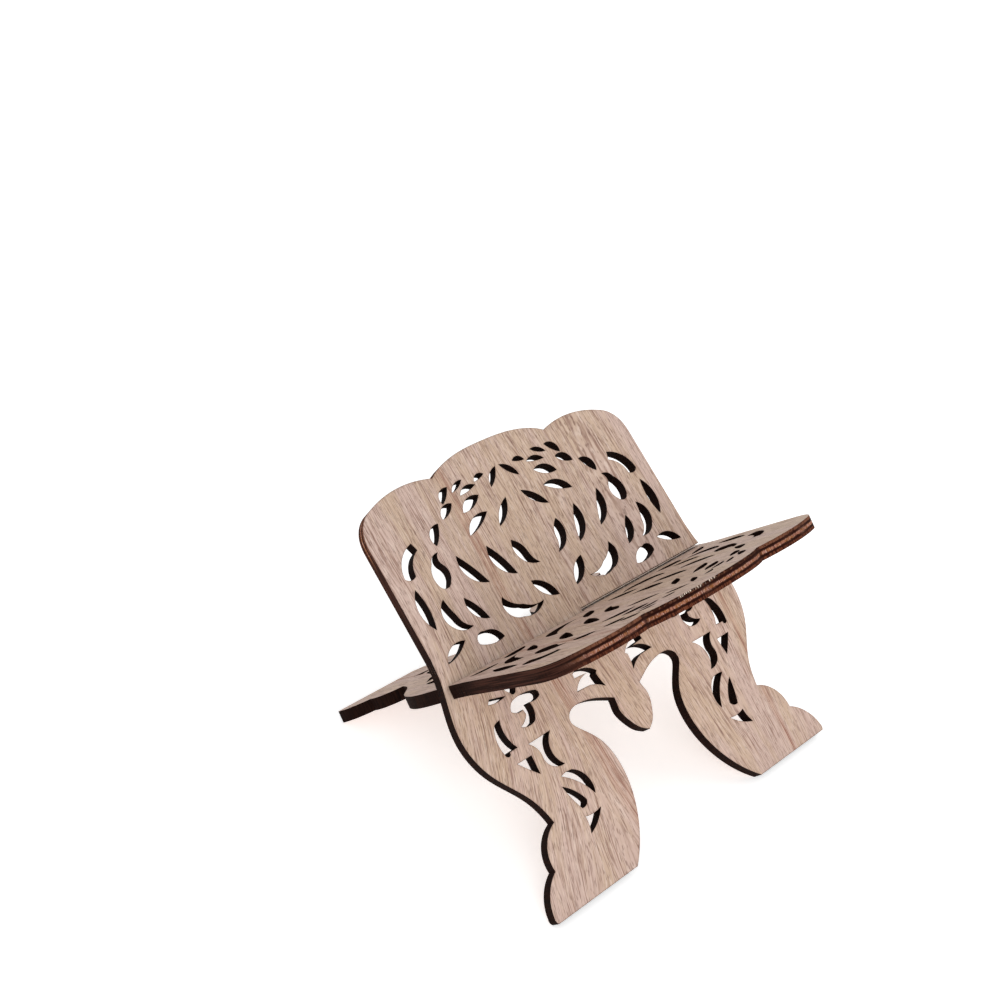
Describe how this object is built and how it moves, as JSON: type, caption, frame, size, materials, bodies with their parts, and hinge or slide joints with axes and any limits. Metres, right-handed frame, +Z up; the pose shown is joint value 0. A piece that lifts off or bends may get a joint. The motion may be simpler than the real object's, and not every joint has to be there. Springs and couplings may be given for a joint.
{
  "type": "bible stand",
  "caption": "Slot-together bible stand of crossed fretwork plywood boards that form a leaning book rest, a front ledge and scalloped legs.",
  "frame": {"origin": "on the floor, under the middle of the line where the boards cross", "axes": "+X along the crossing line, +Y from the front ledge to the leaning rest, +Z up"},
  "size_m": [0.1516, 0.14, 0.1136],
  "materials": {
    "face_veneer": "raw sanded pinkish-tan face veneer with fine darker grain along the board and charred laser-cut edges",
    "core_veneer": "tan cross-grain core veneer, seen only at the cut edges, scorched brown by the laser"
  },
  "bodies": {
    "rest_board": {"rest_board_back_ply": "face_veneer", "rest_board_core_ply": "core_veneer", "rest_board_front_ply": "face_veneer"},
    "ledge_board": {"ledge_board_back_ply": "face_veneer", "ledge_board_core_ply": "core_veneer", "ledge_board_front_ply": "face_veneer"}
  },
  "joints": [
    {"name": "crossing_hinge", "type": "hinge", "parent": "rest_board", "child": "ledge_board", "pos_m": [0, 0, 0.05933], "axis": [-1, 0, 0], "range_deg": [0, 20]}
  ]
}
